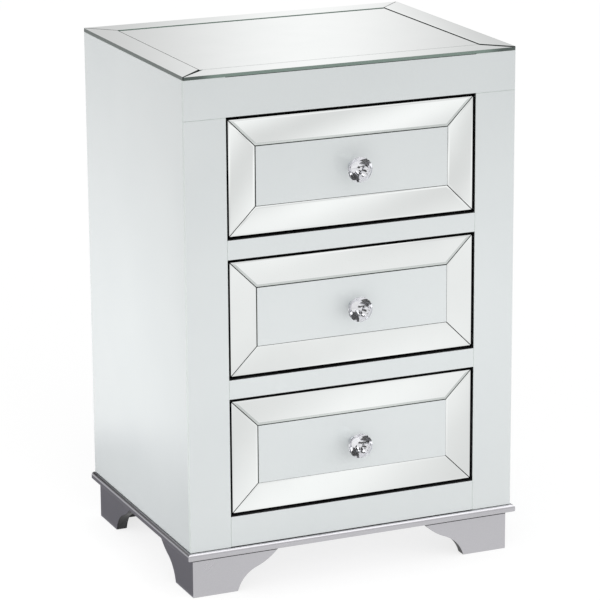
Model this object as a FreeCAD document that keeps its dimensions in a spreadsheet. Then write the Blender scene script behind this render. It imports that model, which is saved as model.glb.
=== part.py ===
import FreeCAD, Part
import math
import os
import re
import Sketcher

# A mirrored nightstand with three drawers: a board case clad in white glass, a top and drawer
# fronts of mirror strips mitred round a pane, a silver base board on bracket feet, and drawers
# hung on wooden runners. Millimetres, +Z up, the front faces -Y, the floor is Z = 0.

# Each row is a driving size: its name, its value and what it measures.
SIZES = [
    ("case_width", "447", "case over both side glasses"),
    ("case_depth", "349.5", "front glass face to the rear edge of the sides"),
    ("glass", "4", "thickness of the cladding glass and the drawers' mirrors"),
    ("board", "15", "thickness of the case boards"),
    ("stile_width", "55", "glass stile beside the drawers"),
    ("top_rail_height", "50.5", "rail above the upper drawer"),
    ("mid_rail_height", "26", "rail between two drawers"),
    ("bottom_rail_height", "41", "rail below the lower drawer"),
    ("opening_height", "152.4", "drawer opening"),
    ("back_sheet", "5", "thickness of the back panel"),
    ("back_inset", "3", "back panel in from the rear edge of the sides"),
    ("top_strip", "34", "width of the mirror strips round the top pane"),
    ("top_pane_glass", "4", "thickness of the top's pane and of its front strip"),
    ("top_strip_glass", "5", "thickness of the top's other three strips"),
    ("glass_lift", "1.2", "base board up to the cladding glass"),
    ("base_thickness", "9.5", "thickness of the base board"),
    ("base_overhang", "5", "base board past the case on the front and sides"),
    ("base_top_round", "4", "rounding of the base board's upper edge"),
    ("base_bottom_round", "2", "rounding of the base board's lower edge"),
    ("foot_height", "52", "floor to the base board"),
    ("foot_inset", "4.2", "foot face behind the case face, front and sides"),
    ("foot_rear_inset", "7", "rear foot in front of the rear edge of the case"),
    ("foot_board", "15", "thickness of a foot's boards"),
    ("foot_sole_width", "61", "foot face on the floor"),
    ("cove_width", "26", "hollow lower part of the foot's curve, across"),
    ("cove_radius", "43", "radius of that hollow"),
    ("belly_width", "32", "rounded upper part of the foot's curve, across"),
    ("belly_drop", "23", "base board down to the point where the curve turns"),
    ("glue_block_width", "28", "square block inside a foot's corner"),
    ("glue_block_lift", "8", "floor to the underside of that block"),
    ("drawer_side_gap", "3.3", "drawer front to the stile"),
    ("drawer_edge_gap", "3.5", "drawer front to the rails above and below"),
    ("drawer_recess", "2", "mirror strips behind the case's front glass"),
    ("drawer_strip", "35", "width of the mirror strips on a drawer front"),
    ("drawer_glass", "5", "thickness of the centre glass of a drawer"),
    ("drawer_board", "15", "thickness of a drawer's front board"),
    ("box_side_gap", "4.3", "drawer side to the edge of the opening"),
    ("box_lift", "12", "opening's lower edge to the drawer side"),
    ("box_headroom", "30.4", "drawer side to the opening's upper edge"),
    ("box_rear_room", "35.5", "drawer side to the back panel"),
    ("box_board", "12", "thickness of the drawer sides and back"),
    ("box_sheet", "5", "thickness of the drawer bottom"),
    ("box_sheet_lift", "10", "lower edge of a drawer side to its bottom panel"),
    ("groove_depth", "6", "grooves for the runners and the drawer bottom"),
    ("runner_height", "14", "height of a runner"),
    ("runner_setback", "30", "face frame to the front end of a runner"),
    ("runner_clearance", "0.3", "play of a runner in its groove, all round"),
    ("packer_height", "40", "height of the packer behind a runner"),
    ("crystal_diameter", "32", "knob crystal over its girdle"),
    ("crystal_table", "15", "flat front of the crystal"),
    ("crystal_foot", "9", "flat back of the crystal"),
    ("pavilion_depth", "12", "crystal behind its girdle"),
    ("girdle_depth", "2.5", "straight rim of the crystal"),
    ("crown_depth", "8.5", "crystal in front of its girdle"),
    ("rosette_diameter", "13", "foot of the knob base on the glass"),
    ("rosette_depth", "2.5", "thickness of that foot"),
    ("neck_diameter", "7", "neck of the knob base"),
    ("neck_depth", "3", "length of that neck"),
    ("cup_depth", "3", "flared cup that holds the crystal"),
    ("knob_thread", "4", "knob screw over its thread"),
    ("bore_end_wall", "2.5", "metal between the knob screw and the crystal"),
    ("knob_head_diameter", "8", "head of the knob screw"),
    ("knob_head_depth", "2.5", "thickness of that head"),
    ("back_thread", "3.5", "back panel screw over its thread"),
    ("back_thread_length", "18", "length of that screw under its head"),
    ("back_head_diameter", "7", "head of the back panel screw"),
    ("back_head_depth", "2", "thickness of that head"),
    ("back_screw_margin", "45", "outer screws from the side panels"),
    ("screw_clearance", "0.1", "hole round a screw, on the radius"),
]

DRAWERS = ("lower", "middle", "upper")
SIDES = ("left", "right")

doc = FreeCAD.newDocument("mirrored_nightstand")
sheet = doc.addObject("Spreadsheet::Sheet", "Sizes")
for row, (name, value, meaning) in enumerate(SIZES, start=1):
    sheet.set(f"A{row}", meaning)
    sheet.set(f"B{row}", value)
    sheet.setAlias(f"B{row}", name)
doc.recompute()

nodes = []

# Levels and planes that several pieces share, as formulas of the sheet's names.
half_width = "(case_width / 2)"
half_opening = "(case_width / 2 - stile_width)"
half_case_board = "(case_width / 2 - glass)"
half_inside = "(case_width / 2 - glass - board)"
knob_reach = "(rosette_depth + neck_depth + cup_depth + pavilion_depth + girdle_depth + crown_depth)"
knob_seat = "(drawer_recess + glass - drawer_glass)"
front = f"(({knob_reach} - {knob_seat} - case_depth) / 2)"
rear = f"({front} + case_depth)"
frame_front = f"({front} + glass)"
frame_rear = f"({frame_front} + board)"
back_panel_rear = f"({rear} - back_inset)"
back_panel_front = f"({back_panel_rear} - back_sheet)"
case_bottom = "(foot_height + base_thickness)"
opening_pitch = "(opening_height + mid_rail_height)"
rails_and_openings = f"(bottom_rail_height + {len(DRAWERS)} * {opening_pitch} - mid_rail_height)"
top_rail_bottom = f"({case_bottom} + {rails_and_openings})"
case_top = f"({top_rail_bottom} + top_rail_height)"
case_height = f"({rails_and_openings} + top_rail_height)"


def bind(thing, path, formula):
    """Tie one property to a formula of the sheet's names."""
    names = "|".join(name for name, value, meaning in SIZES)
    thing.setExpression(path, re.sub(rf"\b({names})\b", r"Sizes.\1", formula))


def place(thing, corner):
    """Tie a piece's place to three formulas, along X, Y and Z."""
    for axis, formula in zip("xyz", corner):
        bind(thing, "Placement.Base." + axis, formula)


def block(name, corner, lengths):
    """A square-edged board from its lowest corner and its lengths along X, Y and Z."""
    box = doc.addObject("Part::Box", name)
    for prop, formula in zip(("Length", "Width", "Height"), lengths):
        bind(box, prop, formula)
    place(box, corner)
    return box


def group(name, pieces):
    """Separate solids kept together under one name."""
    together = doc.addObject("Part::Compound", name)
    together.Links = pieces
    return together


def cut(name, base, tools):
    """A board with grooves or holes taken out of it."""
    result = doc.addObject("Part::Cut", name)
    result.Base = base
    result.Tool = group(name + "_cuts", tools)
    return result


def mirrored(name, source, normal):
    """The same piece for the other hand, across a plane through the origin."""
    copy = doc.addObject("Part::Mirroring", name)
    copy.Source = source
    copy.Normal = FreeCAD.Vector(*normal)
    return copy


def keep(piece):
    """Count a finished piece among those that are written out."""
    nodes.append(piece)


def sketch_in(body, role, name):
    """An empty sketch on one of the body's own origin planes."""
    plane = [feature for feature in body.Origin.OriginFeatures if feature.Role == role][0]
    sketch = body.newObject("Sketcher::SketchObject", name)
    sketch.AttachmentSupport = (plane, [""])
    sketch.MapMode = "FlatFace"
    return sketch


def draw_polygon(sketch, corners):
    """A closed outline whose corners are set by formulas, all at or above zero."""
    origin_point = (-1, 1)
    level_axis = -1
    upright_axis = -2
    count = len(corners)
    for index in range(count):
        start = FreeCAD.Vector(index + 1, (index + 1) ** 2, 0)
        after = (index + 1) % count
        end = FreeCAD.Vector(after + 1, (after + 1) ** 2, 0)
        sketch.addGeometry(Part.LineSegment(start, end))
    for index, (across, along) in enumerate(corners):
        sketch.addConstraint(Sketcher.Constraint("Coincident", index, 2, (index + 1) % count, 1))
        rules = (("DistanceX", across, upright_axis), ("DistanceY", along, level_axis))
        for kind, formula, zero_axis in rules:
            if formula == "0":
                sketch.addConstraint(Sketcher.Constraint("PointOnObject", index, 1, zero_axis))
                continue
            number = sketch.addConstraint(Sketcher.Constraint(kind, *origin_point, index, 1, 1.0))
            bind(sketch, f"Constraints[{number}]", formula)


def turned(name, outline, seat):
    """A lathe-turned piece: radius and distance from its seat, pointing to the front."""
    body = doc.addObject("PartDesign::Body", name)
    sketch = sketch_in(body, "XY_Plane", name + "_outline")
    draw_polygon(sketch, outline)
    turning = body.newObject("PartDesign::Revolution", name + "_turning")
    turning.Profile = sketch
    turning.ReferenceAxis = (sketch, ["V_Axis"])
    turning.Angle = 360
    body.Placement.Rotation = FreeCAD.Rotation(FreeCAD.Vector(0, 0, 1), 180)
    place(body, seat)
    return body


def drill(name, radius, deep_end, depth, x, z):
    """The hole for a screw, from its deep end towards the rear."""
    hole = doc.addObject("Part::Cylinder", name)
    bind(hole, "Radius", radius)
    bind(hole, "Height", depth)
    hole.Placement.Rotation = FreeCAD.Rotation(FreeCAD.Vector(1, 0, 0), -90)
    place(hole, (x, deep_end, z))
    return hole


def mitred_strips(name, corner, run, rise, width, thicknesses, upright):
    """Four strips with mitred ends round a pane, flat or standing with their face to the front.

    Their thicknesses are given in turn: near or lower, right, far or upper, left.
    """
    x, y, z = corner
    stand = FreeCAD.Rotation()
    if upright:
        stand = FreeCAD.Rotation(FreeCAD.Vector(1, 0, 0), 90)
    strips = []
    for turn, (across, along) in enumerate((("0", "0"), (run, "0"), (run, rise), ("0", rise))):
        length = (run, rise)[turn % 2]
        strip = doc.addObject("Part::Wedge", f"{name}_{turn + 1}")
        for prop in ("Xmin", "Ymin", "Zmin", "Z2min"):
            bind(strip, prop, "0")
        bind(strip, "Xmax", length)
        bind(strip, "Ymax", width)
        bind(strip, "Zmax", thicknesses[turn])
        bind(strip, "Z2max", thicknesses[turn])
        bind(strip, "X2min", width)
        bind(strip, "X2max", f"{length} - {width}")
        strip.Placement.Rotation = stand.multiply(FreeCAD.Rotation(FreeCAD.Vector(0, 0, 1), 90 * turn))
        if upright:
            place(strip, (f"{x} + {across}", y, f"{z} + {along}"))
        else:
            place(strip, (f"{x} + {across}", f"{y} + {along}", z))
        strips.append(strip)
    return group(name, strips)


def edges_at(shape, height):
    """Names of the level edges at a height, apart from the one along the rear."""
    near = 1e-6
    names = []
    for number, edge in enumerate(shape.Edges, start=1):
        box = edge.BoundBox
        level = abs(box.ZMin - height) < near and abs(box.ZMax - height) < near
        if level and box.YMin < shape.BoundBox.YMax - near:
            names.append(f"Edge{number}")
    return names


# Base board: the silver board under the case, rounded along its front and sides.
base_board = doc.addObject("PartDesign::Body", "base_board")
# The two roundings share the edge of the board and never meet.
top_round_share = 0.6
bottom_round_share = 0.3
base_length = "(case_width + 2 * base_overhang)"
base_width = "(case_depth + base_overhang)"
base_plan = sketch_in(base_board, "XY_Plane", "base_board_plan")
draw_polygon(base_plan, (("0", "0"), (base_length, "0"), (base_length, base_width), ("0", base_width)))
base_pad = base_board.newObject("PartDesign::Pad", "base_board_thickness")
base_pad.Profile = base_plan
bind(base_pad, "Length", "base_thickness")
doc.recompute()
top_rounding = base_board.newObject("PartDesign::Fillet", "base_board_top_round")
top_rounding.Base = (base_pad, edges_at(base_pad.Shape, base_pad.Shape.BoundBox.ZMax))
bind(top_rounding, "Radius", f"min(base_top_round; base_thickness * {top_round_share})")
doc.recompute()
bottom_rounding = base_board.newObject("PartDesign::Fillet", "base_board_bottom_round")
bottom_rounding.Base = (top_rounding, edges_at(top_rounding.Shape, base_pad.Shape.BoundBox.ZMin))
bind(bottom_rounding, "Radius", f"min(base_bottom_round; base_thickness * {bottom_round_share})")
place(base_board, (f"-{half_width} - base_overhang", f"{front} - base_overhang", "foot_height"))
keep(base_board)


# Bracket feet: two boards mitred at the corner, each cut to a cove that turns into a belly.
turn_width = "(foot_sole_width + cove_width)"
foot_top_width = "(foot_sole_width + cove_width + belly_width)"
turn_height = "(foot_height - belly_drop)"


def draw_ogee(sketch):
    """Sole, cove, belly, top edge and corner of one foot board, from the corner outwards."""
    height = sheet.get("foot_height")
    cove_radius = sheet.get("cove_radius")
    sole = FreeCAD.Vector(sheet.get("foot_sole_width"), 0, 0)
    turn = FreeCAD.Vector(sole.x + sheet.get("cove_width"), height - sheet.get("belly_drop"), 0)
    tip = FreeCAD.Vector(turn.x + sheet.get("belly_width"), height, 0)
    corner_top = FreeCAD.Vector(0, height, 0)
    chord = turn - sole
    outward = FreeCAD.Vector(chord.y, -chord.x, 0).normalize()
    rise = math.sqrt(cove_radius ** 2 - chord.Length ** 2 / 4)
    cove_centre = (sole + turn) / 2 + outward * rise
    along = (turn - cove_centre).normalize()
    span = tip - turn
    belly_radius = span.Length ** 2 / (2 * span.dot(along))
    belly_centre = turn + along * belly_radius
    normal = FreeCAD.Vector(0, 0, 1)

    def bow(centre, radius, begin, finish):
        angles = [math.atan2(point.y - centre.y, point.x - centre.x) for point in (begin, finish)]
        return Part.ArcOfCircle(Part.Circle(centre, normal, radius), *angles)

    sole_line, cove, belly, top_line, corner_line = range(5)
    sketch.addGeometry(Part.LineSegment(FreeCAD.Vector(), sole))
    sketch.addGeometry(bow(cove_centre, cove_radius, turn, sole))
    sketch.addGeometry(bow(belly_centre, belly_radius, turn, tip))
    sketch.addGeometry(Part.LineSegment(tip, corner_top))
    sketch.addGeometry(Part.LineSegment(corner_top, FreeCAD.Vector()))
    for rule in (("Coincident", sole_line, 1, -1, 1), ("Coincident", sole_line, 2, cove, 2),
                 ("Tangent", cove, 1, belly, 1), ("Coincident", belly, 2, top_line, 1),
                 ("Coincident", top_line, 2, corner_line, 1), ("Coincident", corner_line, 2, sole_line, 1),
                 ("Horizontal", sole_line), ("Horizontal", top_line), ("Vertical", corner_line)):
        sketch.addConstraint(Sketcher.Constraint(*rule))
    for rule, formula in ((("DistanceX", -1, 1, sole_line, 2, sole.x), "foot_sole_width"),
                          (("DistanceX", -1, 1, top_line, 1, tip.x), foot_top_width),
                          (("DistanceY", -1, 1, top_line, 2, tip.y), "foot_height"),
                          (("DistanceX", -1, 1, cove, 1, turn.x), turn_width),
                          (("DistanceY", -1, 1, cove, 1, turn.y), turn_height),
                          (("Radius", cove, cove_radius), "cove_radius")):
        number = sketch.addConstraint(Sketcher.Constraint(*rule))
        bind(sketch, f"Constraints[{number}]", formula)


foot_blank = doc.addObject("PartDesign::Body", "foot_blank")
foot_outline = sketch_in(foot_blank, "XZ_Plane", "foot_outline")
draw_ogee(foot_outline)
foot_pad = foot_blank.newObject("PartDesign::Pad", "foot_thickness")
foot_pad.Profile = foot_outline
foot_pad.Reversed = True
bind(foot_pad, "Length", "foot_board")

foot_mitre = doc.addObject("Part::Wedge", "foot_mitre")
for prop in ("Xmin", "Ymin", "Zmin", "Z2min"):
    bind(foot_mitre, prop, "0")
bind(foot_mitre, "X2min", "foot_board")
bind(foot_mitre, "Ymax", "foot_board")
for prop in ("Xmax", "X2max"):
    bind(foot_mitre, prop, foot_top_width)
for prop in ("Zmax", "Z2max"):
    bind(foot_mitre, prop, "foot_height")

foot_face = doc.addObject("Part::Common", "foot_face_board")
foot_face.Base = foot_blank
foot_face.Tool = foot_mitre
foot_side = mirrored("foot_side_board", foot_face, (1, -1, 0))
foot_pair = group("foot_corner", [foot_face, foot_side])
other_hand = mirrored("foot_corner_other_hand", foot_pair, (1, 0, 0))
foot_y = {"front": f"({front} + foot_inset)", "rear": f"({rear} - foot_rear_inset)"}
foot_x = {"left": f"(foot_inset - {half_width})", "right": f"({half_width} - foot_inset)"}
glue_blocks = []
for end, facing in (("front", 0), ("rear", 180)):
    for side in SIDES:
        like_left = (side == "left") == (end == "front")
        foot = group(f"foot_{end}_{side}", [foot_pair if like_left else other_hand])
        foot.Placement.Rotation = FreeCAD.Rotation(FreeCAD.Vector(0, 0, 1), facing)
        place(foot, (foot_x[side], foot_y[end], "0"))
        keep(foot)
        inward = "foot_board" if side == "left" else "-foot_board - glue_block_width"
        backward = "foot_board" if end == "front" else "-foot_board - glue_block_width"
        corner = (f"{foot_x[side]} + {inward}", f"{foot_y[end]} + {backward}", "glue_block_lift")
        lengths = ("glue_block_width", "glue_block_width", "foot_height - glue_block_lift")
        glue_blocks.append(block(f"glue_block_{end}_{side}", corner, lengths))
keep(group("foot_glue_blocks", glue_blocks))

# Case boards: sides, bottom, sub-top and a screwed back behind a face frame of stiles and rails.
shelf_length = f"{back_panel_front} - {frame_rear}"
for side in SIDES:
    panel_x = f"-{half_case_board}" if side == "left" else half_inside
    panel_size = ("board", f"{rear} - {frame_rear}", case_height)
    keep(block(f"side_panel_{side}", (panel_x, frame_rear, case_bottom), panel_size))
    stile_x = f"-{half_case_board}" if side == "left" else half_opening
    stile_size = ("stile_width - glass", "board", case_height)
    keep(block(f"stile_{side}", (stile_x, frame_front, case_bottom), stile_size))

screw_columns = (f"back_screw_margin - {half_inside}", "0", f"{half_inside} - back_screw_margin")
shelf_levels = (("bottom_panel", case_bottom), ("sub_top", f"({case_top} - board)"))
back_screws = []
back_holes = []
back_screw_outline = (
    ("0", "0"), ("back_head_diameter / 2", "0"), ("back_head_diameter / 2", "back_head_depth"),
    ("back_thread / 2", "back_head_depth"), ("back_thread / 2", "back_head_depth + back_thread_length"),
    ("0", "back_head_depth + back_thread_length"))
for shelf, level in shelf_levels:
    screw_z = f"{level} + board / 2"
    shelf_holes = []
    for number, column in enumerate(screw_columns, start=1):
        screw_name = f"{shelf}_screw_{number}"
        seat = (column, f"{back_panel_rear} + back_head_depth", screw_z)
        back_screws.append(turned(screw_name, back_screw_outline, seat))
        radius = "back_thread / 2 + screw_clearance"
        deep_end = f"{back_panel_rear} - back_thread_length - screw_clearance"
        shelf_depth = "back_thread_length + screw_clearance - back_sheet"
        shelf_holes.append(drill(screw_name + "_pilot", radius, deep_end, shelf_depth, column, screw_z))
        back_hole = drill(screw_name + "_hole", radius, back_panel_front, "back_sheet", column, screw_z)
        back_holes.append(back_hole)
    blank = block(shelf + "_blank", (f"-{half_inside}", frame_rear, level),
                  (f"2 * {half_inside}", shelf_length, "board"))
    keep(cut(shelf, blank, shelf_holes))
back_blank = block("back_panel_blank", (f"-{half_inside}", back_panel_front, case_bottom),
                   (f"2 * {half_inside}", "back_sheet", case_height))
keep(cut("back_panel", back_blank, back_holes))
keep(group("back_panel_screws", back_screws))

# Rails of the face frame, each with its glass: the lower ones stand between the stiles.
rails = [("bottom_rail", case_bottom, "bottom_rail_height")]
for level, name in enumerate(("lower_mid_rail", "upper_mid_rail"), start=1):
    rails.append((name, f"{case_bottom} + bottom_rail_height + {level} * {opening_pitch} - mid_rail_height",
                  "mid_rail_height"))
rails.append(("top_rail", top_rail_bottom, "top_rail_height"))
for name, level, height in rails:
    keep(block(name, (f"-{half_opening}", frame_front, level), (f"2 * {half_opening}", "board", height)))
    half_glass = half_width if name == "top_rail" else half_opening
    lift = "glass_lift" if name == "bottom_rail" else "0"
    keep(block(name + "_glass", (f"-{half_glass}", front, f"{level} + {lift}"),
               (f"2 * {half_glass}", "glass", f"{height} - {lift}")))

# Stile and side glass: the stile glass ends under the top rail's, the side glass behind the front's.
# All the glass stops short of the base board, so that it never chips on it.
glass_bottom = f"({case_bottom} + glass_lift)"
for side in SIDES:
    stile_glass_x = f"-{half_width}" if side == "left" else half_opening
    stile_glass_size = ("stile_width", "glass", f"{rails_and_openings} - glass_lift")
    keep(block(f"stile_glass_{side}", (stile_glass_x, front, glass_bottom), stile_glass_size))
    side_glass_x = f"-{half_width}" if side == "left" else half_case_board
    side_glass_size = ("glass", f"{rear} - {frame_front}", f"{case_height} - glass_lift")
    keep(block(f"side_glass_{side}", (side_glass_x, frame_front, glass_bottom), side_glass_size))

# Top: a mirror pane level with its front strip, and three thicker strips that stand proud of both.
# The strips are mitred and flush with the case all round.
keep(block("top_mirror", (f"top_strip - {half_width}", f"{front} + top_strip", case_top),
           ("case_width - 2 * top_strip", "case_depth - 2 * top_strip", "top_pane_glass")))
keep(mitred_strips("top_mirror_strips", (f"-{half_width}", front, case_top), "case_width", "case_depth",
                   "top_strip", ("top_pane_glass",) + ("top_strip_glass",) * 3, False))

# Runners: hardwood strips on packers that bring the case sides out to the drawer opening.
box_height = "(opening_height - box_lift - box_headroom)"
runner_lift = f"({box_height} - runner_height) / 2"
packers = []
runners = []
box_bottoms = {}
for level, drawer in enumerate(DRAWERS):
    box_bottoms[drawer] = f"({case_bottom} + bottom_rail_height + {level} * {opening_pitch} + box_lift)"
    runner_bottom = f"{box_bottoms[drawer]} + {runner_lift}"
    packer_bottom = f"{runner_bottom} + (runner_height - packer_height) / 2"
    packer_size = (f"{half_inside} - {half_opening}", shelf_length, "packer_height")
    runner_width = "(box_side_gap + groove_depth - runner_clearance)"
    runner_size = (runner_width, f"{shelf_length} - runner_setback", "runner_height")
    for side in SIDES:
        packer_x = f"-{half_inside}" if side == "left" else half_opening
        packers.append(block(f"{drawer}_packer_{side}", (packer_x, frame_rear, packer_bottom), packer_size))
        runner_x = f"-{half_opening}" if side == "left" else f"{half_opening} - {runner_width}"
        runner_corner = (runner_x, f"{frame_rear} + runner_setback", runner_bottom)
        runners.append(block(f"{drawer}_runner_{side}", runner_corner, runner_size))
keep(group("runner_packers", packers))
keep(group("drawer_runners", runners))

# Drawers: a front board under glass, two grooved sides, a back and a bottom, and a crystal knob.
half_front = f"({half_opening} - drawer_side_gap)"
half_box = f"({half_opening} - box_side_gap)"
half_box_inside = f"({half_box} - box_board)"
half_box_sheet = f"({half_box_inside} + groove_depth)"
front_height = "(opening_height - 2 * drawer_edge_gap)"
strip_front = f"({front} + drawer_recess)"
front_board_front = f"({strip_front} + glass)"
front_board_rear = f"({front_board_front} + drawer_board)"
box_rear = f"({back_panel_front} - box_rear_room)"
box_length = f"({box_rear} - {front_board_rear})"
hole_radius = "knob_thread / 2 + screw_clearance"
rosette_rise = "rosette_depth"
neck_rise = f"{rosette_rise} + neck_depth"
cup_rise = f"{neck_rise} + cup_depth"
bore_depth = f"{cup_rise} - bore_end_wall"
pavilion_rise = "pavilion_depth"
girdle_rise = f"{pavilion_rise} + girdle_depth"
crown_rise = f"{girdle_rise} + crown_depth"
knob_screw_length = f"knob_head_depth + drawer_board + drawer_glass + {bore_depth} - screw_clearance"
knob_base_outline = (
    (hole_radius, "0"), ("rosette_diameter / 2", "0"), ("rosette_diameter / 2", rosette_rise),
    ("neck_diameter / 2", rosette_rise), ("neck_diameter / 2", neck_rise), ("crystal_foot / 2", cup_rise),
    ("0", cup_rise), ("0", bore_depth), (hole_radius, bore_depth))
crystal_outline = (
    ("0", "0"), ("crystal_foot / 2", "0"), ("crystal_diameter / 2", pavilion_rise),
    ("crystal_diameter / 2", girdle_rise), ("crystal_table / 2", crown_rise), ("0", crown_rise))
knob_screw_outline = (
    ("0", "0"), ("knob_head_diameter / 2", "0"), ("knob_head_diameter / 2", "knob_head_depth"),
    ("knob_thread / 2", "knob_head_depth"), ("knob_thread / 2", knob_screw_length), ("0", knob_screw_length))

for drawer, box_bottom in box_bottoms.items():
    front_bottom = f"({box_bottom} - box_lift + drawer_edge_gap)"
    sheet_bottom = f"({box_bottom} + box_sheet_lift)"
    knob_z = f"({front_bottom} + {front_height} / 2)"
    sheet_groove_y = f"{front_board_rear} - groove_depth"

    board_blank = block(f"{drawer}_drawer_front_blank", (f"-{half_front}", front_board_front, front_bottom),
                        (f"2 * {half_front}", "drawer_board", front_height))
    board_groove = block(f"{drawer}_drawer_front_groove",
                         (f"-{half_box_sheet}", sheet_groove_y, sheet_bottom),
                         (f"2 * {half_box_sheet}", "groove_depth", "box_sheet"))
    board_hole = drill(f"{drawer}_drawer_front_hole", hole_radius, front_board_front, "drawer_board",
                       "0", knob_z)
    keep(cut(f"{drawer}_drawer_front", board_blank, [board_groove, board_hole]))

    keep(mitred_strips(f"{drawer}_drawer_mirror_strips", (f"-{half_front}", front_board_front, front_bottom),
                       f"2 * {half_front}", front_height, "drawer_strip", ("glass",) * 4, True))

    glass_blank = block(f"{drawer}_drawer_glass_blank",
                        (f"drawer_strip - {half_front}", f"{front_board_front} - drawer_glass",
                         f"{front_bottom} + drawer_strip"),
                        (f"2 * ({half_front} - drawer_strip)", "drawer_glass",
                         f"{front_height} - 2 * drawer_strip"))
    glass_hole = drill(f"{drawer}_drawer_glass_hole", hole_radius, f"{front_board_front} - drawer_glass",
                       "drawer_glass", "0", knob_z)
    keep(cut(f"{drawer}_drawer_glass", glass_blank, [glass_hole]))

    for side in SIDES:
        side_x = f"-{half_box}" if side == "left" else half_box_inside
        outer_x = f"-{half_box}" if side == "left" else f"{half_box} - groove_depth"
        inner_x = f"-{half_box_sheet}" if side == "left" else half_box_inside
        side_name = f"{drawer}_drawer_side_{side}"
        side_blank = block(side_name + "_blank", (side_x, front_board_rear, box_bottom),
                           ("box_board", box_length, box_height))
        groove_front = f"({frame_rear} + runner_setback - runner_clearance)"
        runner_groove = block(side_name + "_runner_groove",
                              (outer_x, groove_front, f"{box_bottom} + {runner_lift} - runner_clearance"),
                              ("groove_depth", f"{box_rear} - {groove_front}",
                               "runner_height + 2 * runner_clearance"))
        sheet_groove = block(side_name + "_sheet_groove", (inner_x, front_board_rear, sheet_bottom),
                             ("groove_depth", box_length, "box_sheet"))
        keep(cut(side_name, side_blank, [runner_groove, sheet_groove]))

    keep(block(f"{drawer}_drawer_bottom", (f"-{half_box_sheet}", sheet_groove_y, sheet_bottom),
               (f"2 * {half_box_sheet}", f"{box_length} + groove_depth", "box_sheet")))
    keep(block(f"{drawer}_drawer_back", (f"-{half_box_inside}", f"{box_rear} - box_board",
                                         f"{sheet_bottom} + box_sheet"),
               (f"2 * {half_box_inside}", "box_board", f"{box_height} - box_sheet_lift - box_sheet")))

    knob_front = f"{front_board_front} - drawer_glass"
    keep(turned(f"{drawer}_knob_base", knob_base_outline, ("0", knob_front, knob_z)))
    keep(turned(f"{drawer}_knob_crystal", crystal_outline, ("0", f"{knob_front} - ({cup_rise})", knob_z)))
    keep(turned(f"{drawer}_knob_screw", knob_screw_outline,
                ("0", f"{front_board_rear} + knob_head_depth", knob_z)))

doc.recompute()

for thing in doc.Objects:
    if "Invalid" in thing.State or "Error" in thing.State:
        raise RuntimeError(f"{thing.Label} failed to build")
for piece in nodes:
    if piece.Shape.isNull() or not piece.Shape.isValid() or not piece.Shape.Solids:
        raise RuntimeError(f"{piece.Label} has no valid solid")

os.makedirs("parts", exist_ok=True)
for piece in nodes:
    piece.Shape.exportStep(f"parts/{piece.Label}.step")
    print(piece.Label, len(piece.Shape.Solids), round(piece.Shape.Volume))
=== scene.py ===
import math

import bmesh
import bpy
from mathutils import Matrix, Vector


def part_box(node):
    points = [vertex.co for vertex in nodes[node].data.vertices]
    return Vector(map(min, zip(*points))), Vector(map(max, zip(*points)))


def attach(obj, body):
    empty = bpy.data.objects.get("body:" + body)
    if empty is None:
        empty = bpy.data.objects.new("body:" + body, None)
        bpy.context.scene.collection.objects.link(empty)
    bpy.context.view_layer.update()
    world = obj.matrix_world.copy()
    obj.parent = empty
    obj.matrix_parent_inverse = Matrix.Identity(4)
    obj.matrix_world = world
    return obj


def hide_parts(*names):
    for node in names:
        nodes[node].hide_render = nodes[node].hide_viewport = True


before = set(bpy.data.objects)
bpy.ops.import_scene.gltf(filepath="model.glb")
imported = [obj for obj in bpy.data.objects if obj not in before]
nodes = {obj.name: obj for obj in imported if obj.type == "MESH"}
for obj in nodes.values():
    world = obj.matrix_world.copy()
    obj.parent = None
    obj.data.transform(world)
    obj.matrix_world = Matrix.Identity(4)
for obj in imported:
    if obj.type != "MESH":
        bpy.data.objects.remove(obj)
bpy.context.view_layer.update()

# Base board: MDF under the case, its edge rounded along the front and sides, sprayed with silver lacquer.
# It is glued and screwed up into the case, and the feet are glued under it. The narrow ledge beside
# the side glass has a darker copy of the lacquer as painted shade.
SHARP_ANGLE = math.radians(28)
WELD = 1e-6
LEDGE_SLOPE = 0.75


def linear(code):
    """An sRGB hex colour as linear red, green and blue, with full alpha."""
    channels = [int(code[place:place + 2], 16) / 255 for place in (1, 3, 5)]
    return [c / 12.92 if c <= 0.04045 else ((c + 0.055) / 1.055) ** 2.4 for c in channels] + [1.0]


def add_node(tree, kind, inputs=None, **settings):
    """Add a shader node: each input takes a plain value or another node's output."""
    node = tree.nodes.new("ShaderNode" + kind)
    for name, value in settings.items():
        setattr(node, name, value)
    for name, value in (inputs or {}).items():
        if isinstance(value, bpy.types.NodeSocket):
            tree.links.new(value, node.inputs[name])
        else:
            node.inputs[name].default_value = value
    return node


def blank_material(name):
    """A new material, its node tree, and coordinates that stay with the piece."""
    material = bpy.data.materials.new(name)
    material.use_nodes = True
    tree = material.node_tree
    tree.nodes.clear()
    place = add_node(tree, "TexCoord").outputs["Object"]
    return material, tree, place


def surface(tree, inputs):
    """The material's shader with its inputs, joined to the output."""
    shader = add_node(tree, "BsdfPrincipled", inputs)
    add_node(tree, "OutputMaterial", {"Surface": shader.outputs["BSDF"]})


def per_metre(millimetres):
    """How many times a pattern of this size fits in a metre."""
    return 1000 / millimetres


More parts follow.
